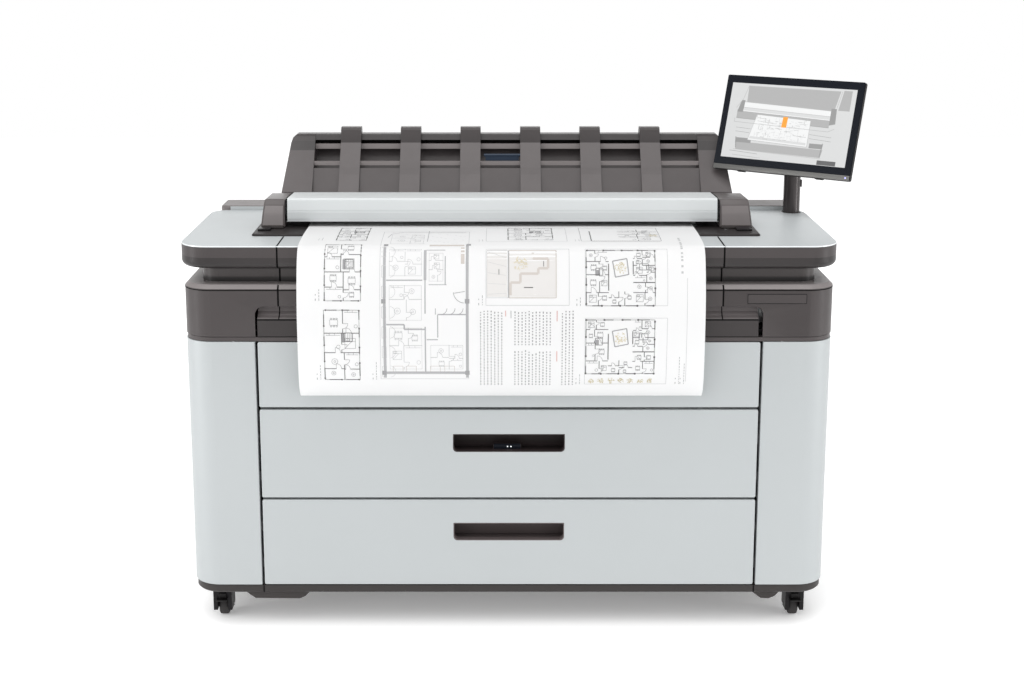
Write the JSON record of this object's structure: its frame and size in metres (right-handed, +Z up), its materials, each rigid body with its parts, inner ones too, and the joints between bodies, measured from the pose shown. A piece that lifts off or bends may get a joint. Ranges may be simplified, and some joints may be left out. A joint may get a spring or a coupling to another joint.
{
  "type": "large format plotter",
  "caption": "Wide roll-fed printer cabinet on casters with roll drawers, a scanner on a lifting hood, a tilting rear stacker and a swivelling display.",
  "frame": {"origin": "middle of the whole machine's footprint, at the floor", "axes": "+X to the operator's right, +Y to the rear, +Z up"},
  "size_m": [1.6211, 0.7077, 1.257],
  "materials": {
    "silver_panel": "satin silver lacquer",
    "deck_silver": "satin silver lacquer",
    "lid_silver": "satin silver moulding",
    "dark_plastic": "fine-grained dark brown-grey moulding",
    "stacker_plastic": "fine-grained dark brown-grey moulding",
    "bar_plastic": "smooth grey-brown moulding",
    "black_plastic": "smooth black moulding",
    "latch_plastic": "blue touch point",
    "frame_steel": "zinc-plated sheet",
    "tray_steel": "powder coat",
    "rubber": "matt",
    "tyre": "matt",
    "paper": "uncoated",
    "glass": "float glass",
    "screen_glass": "black-bordered cover glass",
    "box_plastic": "smooth black moulding",
    "pulley_plastic": "smooth acetal",
    "drive_rubber": "belt with motor can"
  },
  "bodies": {
    "cabinet": {"base_pan": "dark_plastic", "left_column": "silver_panel", "right_column": "silver_panel", "side_frames": "frame_steel", "back_panel": "silver_panel", "front_upper_panel": "silver_panel", "trim_strip": "dark_plastic", "output_panel": "dark_plastic", "upper_covers": "dark_plastic", "deck_fascias": "dark_plastic", "deck_plates": "deck_silver", "rear_top_cover": "dark_plastic", "platen": "frame_steel", "carriage_rail": "frame_steel", "carriage_drive": "drive_rubber", "service_station": "box_plastic", "ink_cartridges": "box_plastic", "electronics_box": "frame_steel", "power_inlet": "black_plastic", "display_pole": "dark_plastic"},
    "upper_drawer": {"upper_drawer_front": "silver_panel", "upper_handle_cup": "black_plastic", "upper_drawer_tray": "tray_steel"},
    "lower_drawer": {"lower_drawer_front": "silver_panel", "lower_handle_cup": "dark_plastic", "lower_drawer_tray": "tray_steel"},
    "upper_roll": {"upper_spindle": "black_plastic", "upper_paper_roll": "paper"},
    "lower_roll": {"lower_spindle": "black_plastic", "lower_paper_roll": "paper"},
    "hood": {"hood_shell": "dark_plastic", "hood_plate": "deck_silver", "scanner_base": "dark_plastic", "scan_glass": "glass", "scan_modules": "box_plastic", "left_scanner_cap": "dark_plastic", "right_scanner_cap": "dark_plastic", "hanging_sheet": "paper"},
    "lid": {"scanner_lid": "lid_silver"},
    "scan_feed": {"scan_roller": "rubber"},
    "carriage": {"print_carriage": "box_plastic"},
    "idler": {"idler_pulley": "pulley_plastic"},
    "driver": {"drive_pulley": "pulley_plastic"},
    "paper_feed": {"feed_roller": "rubber"},
    "stacker": {"stacker_frame": "stacker_plastic", "stacker_ribs": "stacker_plastic", "stacker_bars": "bar_plastic"},
    "latch": {"stacker_latch": "latch_plastic"},
    "display_turn": {"display_collar": "dark_plastic"},
    "display": {"display_arm": "black_plastic", "display_shell": "black_plastic", "display_glass": "screen_glass"},
    "front_left_swivel": {"front_left_fork": "black_plastic"},
    "front_left_roller": {"front_left_wheel": "tyre"},
    "front_right_swivel": {"front_right_fork": "black_plastic"},
    "front_right_roller": {"front_right_wheel": "tyre"},
    "rear_left_swivel": {"rear_left_fork": "black_plastic"},
    "rear_left_roller": {"rear_left_wheel": "tyre"},
    "rear_right_swivel": {"rear_right_fork": "black_plastic"},
    "rear_right_roller": {"rear_right_wheel": "tyre"}
  },
  "joints": [
    {"name": "upper_drawer_slide", "type": "slide", "parent": "cabinet", "child": "upper_drawer", "axis": [0, -1, 0], "range_m": [0, 0.4]},
    {"name": "lower_drawer_slide", "type": "slide", "parent": "cabinet", "child": "lower_drawer", "axis": [0, -1, 0], "range_m": [0, 0.4]},
    {"name": "upper_roll_spin", "type": "hinge", "parent": "upper_drawer", "child": "upper_roll", "pos_m": [-0.0605, -0.0656, 0.425], "axis": [1, 0, 0], "continuous": true},
    {"name": "lower_roll_spin", "type": "hinge", "parent": "lower_drawer", "child": "lower_roll", "pos_m": [-0.0605, -0.0656, 0.2105], "axis": [1, 0, 0], "continuous": true},
    {"name": "hood_hinge", "type": "hinge", "parent": "cabinet", "child": "hood", "pos_m": [-0.0795, 0.1799, 0.925], "axis": [-1, 0, 0], "range_deg": [0, 35]},
    {"name": "lid_hinge", "type": "hinge", "parent": "hood", "child": "lid", "pos_m": [-0.0755, 0.0374, 0.952], "axis": [-1, 0, 0], "range_deg": [0, 50]},
    {"name": "scan_roller_spin", "type": "hinge", "parent": "hood", "child": "scan_feed", "pos_m": [-0.0755, -0.0606, 0.948], "axis": [1, 0, 0], "continuous": true},
    {"name": "carriage_slide", "type": "slide", "parent": "cabinet", "child": "carriage", "axis": [1, 0, 0], "range_m": [-0.42, 0.36]},
    {"name": "idler_spin", "type": "hinge", "parent": "cabinet", "child": "idler", "pos_m": [-0.6125, 0.0164, 0.8], "axis": [0, 1, 0], "continuous": true},
    {"name": "driver_spin", "type": "hinge", "parent": "cabinet", "child": "driver", "pos_m": [0.4915, 0.0164, 0.8], "axis": [0, 1, 0], "continuous": true},
    {"name": "paper_feed_spin", "type": "hinge", "parent": "cabinet", "child": "paper_feed", "pos_m": [-0.0605, -0.2046, 0.713], "axis": [1, 0, 0], "continuous": true},
    {"name": "stacker_tilt", "type": "hinge", "parent": "cabinet", "child": "stacker", "pos_m": [-0.0635, 0.2614, 0.94], "axis": [-1, 0, 0], "range_deg": [0, 25]},
    {"name": "latch_pull", "type": "hinge", "parent": "stacker", "child": "latch", "pos_m": [-0.0755, 0.2624, 1.05], "axis": [-1, 0, 0], "range_deg": [0, 18], "stiffness_Nm_per_rad": 0.05},
    {"name": "display_swivel", "type": "hinge", "parent": "cabinet", "child": "display_turn", "pos_m": [0.6565, 0.1554, 1.07], "axis": [0, 0, 1], "range_deg": [0, 100]},
    {"name": "display_tilt", "type": "hinge", "parent": "display_turn", "child": "display", "pos_m": [0.6565, 0.1554, 1.092], "axis": [0.788, -0.6157, 0], "range_deg": [-14, 3]},
    {"name": "front_left_turn", "type": "hinge", "parent": "cabinet", "child": "front_left_swivel", "pos_m": [-0.7445, -0.2286, 0.08], "axis": [0, 0, 1], "continuous": true},
    {"name": "front_left_roll", "type": "hinge", "parent": "front_left_swivel", "child": "front_left_roller", "pos_m": [-0.7445, -0.2126, 0.025], "axis": [1, 0, 0], "continuous": true},
    {"name": "front_right_turn", "type": "hinge", "parent": "cabinet", "child": "front_right_swivel", "pos_m": [0.6235, -0.2286, 0.08], "axis": [0, 0, 1], "continuous": true},
    {"name": "front_right_roll", "type": "hinge", "parent": "front_right_swivel", "child": "front_right_roller", "pos_m": [0.6235, -0.2126, 0.025], "axis": [1, 0, 0], "continuous": true},
    {"name": "rear_left_turn", "type": "hinge", "parent": "cabinet", "child": "rear_left_swivel", "pos_m": [-0.7445, 0.2894, 0.08], "axis": [0, 0, 1], "continuous": true},
    {"name": "rear_left_roll", "type": "hinge", "parent": "rear_left_swivel", "child": "rear_left_roller", "pos_m": [-0.7445, 0.3054, 0.025], "axis": [1, 0, 0], "continuous": true},
    {"name": "rear_right_turn", "type": "hinge", "parent": "cabinet", "child": "rear_right_swivel", "pos_m": [0.6235, 0.2894, 0.08], "axis": [0, 0, 1], "continuous": true},
    {"name": "rear_right_roll", "type": "hinge", "parent": "rear_right_swivel", "child": "rear_right_roller", "pos_m": [0.6235, 0.3054, 0.025], "axis": [1, 0, 0], "continuous": true}
  ],
  "couplings": [
    {"joint": "idler_spin", "follows": "carriage_slide", "rad_per_m": 80},
    {"joint": "driver_spin", "follows": "carriage_slide", "rad_per_m": 80}
  ]
}
